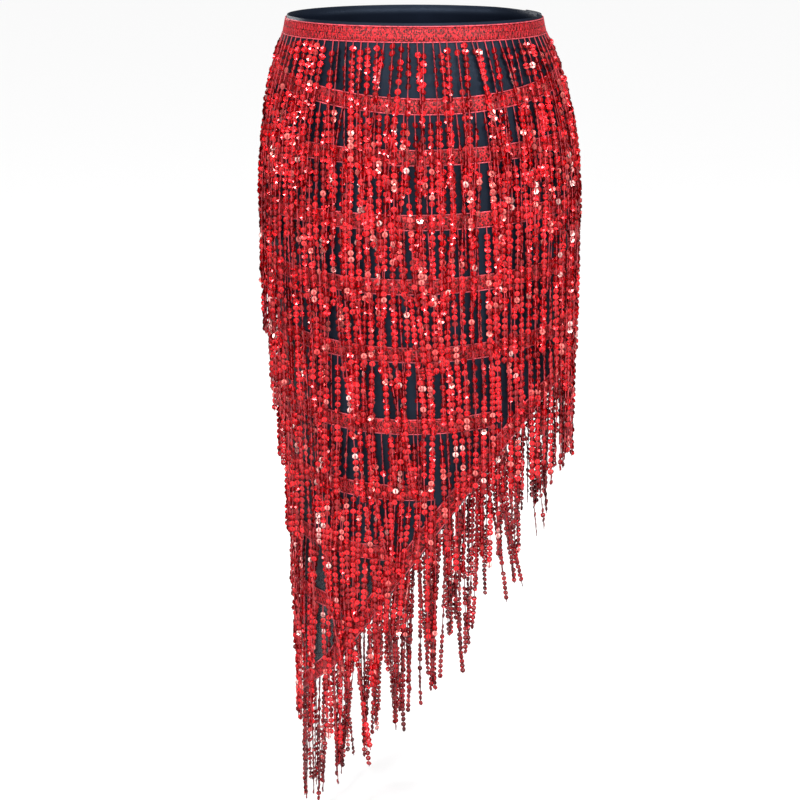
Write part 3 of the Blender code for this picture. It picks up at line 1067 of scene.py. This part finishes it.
def build_camera(scene):
    """The camera at the photo's place and framing."""
    camera = bpy.data.cameras.new("camera")
    camera.lens = CAMERA_LENS
    camera.dof.use_dof = False
    holder = as_object("camera", camera)
    holder.location = CAMERA_PLACE
    holder.rotation_euler = (CAMERA_PITCH, 0.0, 0.0)
    scene.camera = holder


# The add-on: its settings, its steps and its panel


class HipScarfSettings(bpy.types.PropertyGroup):
    """Sizes and colours of the hip scarf."""

    cloth_colour: FloatVectorProperty(
        name="Cloth colour",
        description="Colour of the satin",
        subtype="COLOR",
        default=(0.004, 0.006, 0.012),
    )
    sequin_colour: FloatVectorProperty(
        name="Sequin colour",
        description="Colour of the rows' sequins",
        subtype="COLOR",
        default=(0.66, 0.008, 0.013),
    )
    # Darker than the rows' sequins: painted shade for the weaker light low down.
    hem_sequin_painted_shade_colour: FloatVectorProperty(
        name="Hem sequin colour",
        description="Colour of the hem's sequins",
        subtype="COLOR",
        default=(0.38, 0.003, 0.008),
    )
    thread_colour: FloatVectorProperty(
        name="Thread colour",
        description="Colour of the rows' threads",
        subtype="COLOR",
        default=(0.40, 0.022, 0.035),
    )
    hem_thread_colour: FloatVectorProperty(
        name="Hem thread colour",
        description="Colour of the hem's threads",
        subtype="COLOR",
        default=(0.10, 0.014, 0.02),
    )
    braid_colour: FloatVectorProperty(
        name="Braid colour",
        description="Colour of the braid's ground",
        subtype="COLOR",
        default=(0.50, 0.007, 0.013),
    )
    cord_colour: FloatVectorProperty(
        name="Cord colour",
        description="Colour of the winding cord",
        subtype="COLOR",
        default=(0.44, 0.015, 0.025),
    )
    edge_cord_colour: FloatVectorProperty(
        name="Edge cord colour",
        description="Colour of the edge cords",
        subtype="COLOR",
        default=(0.62, 0.07, 0.095),
    )
    net_cover: FloatProperty(
        name="Net cover",
        description="How much the net hides",
        subtype="FACTOR",
        default=0.7,
        min=0.0,
        max=1.0,
    )
    sequin_size: FloatProperty(
        name="Sequin size",
        description="Diameter of a sequin",
        unit="LENGTH",
        default=0.0072,
        min=0.003,
        max=0.01,
    )
    thread_spacing: FloatProperty(
        name="Thread spacing",
        description="Distance between threads",
        unit="LENGTH",
        default=0.0098,
        min=0.005,
    )
    thread_radius: FloatProperty(
        name="Thread radius",
        description="Half the thickness of a thread",
        unit="LENGTH",
        default=0.0006,
    )


class HIPSCARF_OT_cloth(bpy.types.Operator):
    """Build the wrapped cloth"""

    bl_idname = "hipscarf.cloth"
    bl_label = "Cloth"

    def execute(self, context):
        settings = context.scene.hip_scarf
        mesh = mesh_of(cloth_wall(), "scarf_cloth")
        cloth = as_object("scarf_cloth", mesh, satin_material(settings), sheer_material(settings))
        netted_faces(mesh)
        mesh.shade_smooth()
        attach(cloth, "root")
        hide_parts("base_cloth")
        return {"FINISHED"}


class HIPSCARF_OT_braids(bpy.types.Operator):
    """Build the braid of the waistband, of each row and of the hem"""

    bl_idname = "hipscarf.braids"
    bl_label = "Braids"

    def execute(self, context):
        settings = context.scene.hip_scarf
        edge_cord = cord_material("edge_cord", settings.edge_cord_colour)
        winding_cord = cord_material("winding_cord", settings.cord_colour)
        materials = ground_material(settings), edge_cord, winding_cord
        runs = [(row.node, row_path(row, BRAID_STEP)) for row in ROWS]
        runs.append((HEM_NODE, hem_path(BRAID_STEP)))
        for name, path in runs:
            braid = braid_object(name + "_braid", path, materials)
            braid.data.shade_smooth()
            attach(braid, "root")
            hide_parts(name)
        return {"FINISHED"}


class HIPSCARF_OT_fringes(bpy.types.Operator):
    """Hang the threads of each row and of the hem, with their sequins"""

    bl_idname = "hipscarf.fringes"
    bl_label = "Fringes"

    def execute(self, context):
        settings = context.scene.hip_scarf
        row_goods = (
            thread_material("row_thread", settings.thread_colour),
            sequin_material("row_sequin", settings.sequin_colour, ROW_RIM, ROW_PLAIN),
        )
        hem_goods = (
            thread_material("hem_thread", settings.hem_thread_colour),
            sequin_material("hem_sequin", settings.hem_sequin_painted_shade_colour, HEM_RIM, HEM_PLAIN),
        )
        template = sequin_template(settings.sequin_size)
        spacing, diameter = settings.thread_spacing, settings.sequin_size
        for number, name in enumerate([row.node for row in ROWS] + [HEM_NODE]):
            rng = random.Random(SEED + number)
            if name == HEM_NODE:
                lines, sequins = hem_fringe(rng, spacing, diameter)
                thread, gloss = hem_goods
            else:
                lines, sequins = row_fringe(rng, number, ROWS[number], spacing, diameter)
                thread, gloss = row_goods
            tubes = tube_mesh(name + "_threads", lines, settings.thread_radius)
            threads = as_object(name + "_threads", tubes, thread)
            hung = sown(name + "_sequins", template, sequins, gloss)
            for piece, slot in ((threads, "thread"), (hung, "sequin_fringe")):
                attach(piece, "root")
                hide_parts(name)
        bpy.data.objects.remove(template)
        return {"FINISHED"}


class HIPSCARF_OT_stage(bpy.types.Operator):
    """Set up the floor, the lights and the camera"""

    bl_idname = "hipscarf.stage"
    bl_label = "Stage"

    def execute(self, context):
        build_floor()
        build_lights(context.scene)
        build_camera(context.scene)
        return {"FINISHED"}


class HIPSCARF_PT_panel(bpy.types.Panel):
    """The hip scarf's settings and its steps"""

    bl_label = "Hip Scarf"
    bl_idname = "HIPSCARF_PT_panel"
    bl_space_type = "VIEW_3D"
    bl_region_type = "UI"
    bl_category = "Hip Scarf"

    def draw(self, context):
        column = self.layout.column()
        for name in HipScarfSettings.__annotations__:
            column.prop(context.scene.hip_scarf, name)
        for step in STEPS:
            column.operator(step.bl_idname)


STEPS = (HIPSCARF_OT_cloth, HIPSCARF_OT_braids, HIPSCARF_OT_fringes, HIPSCARF_OT_stage)
CLASSES = (HipScarfSettings, *STEPS, HIPSCARF_PT_panel)


def register():
    for each in CLASSES:
        bpy.utils.register_class(each)
    bpy.types.Scene.hip_scarf = PointerProperty(type=HipScarfSettings)


def unregister():
    del bpy.types.Scene.hip_scarf
    for each in reversed(CLASSES):
        bpy.utils.unregister_class(each)


def main():
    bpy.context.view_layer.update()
    register()
    bpy.ops.hipscarf.cloth()
    bpy.ops.hipscarf.braids()
    bpy.ops.hipscarf.fringes()
    bpy.ops.hipscarf.stage()


if __name__ == "__main__":
    main()
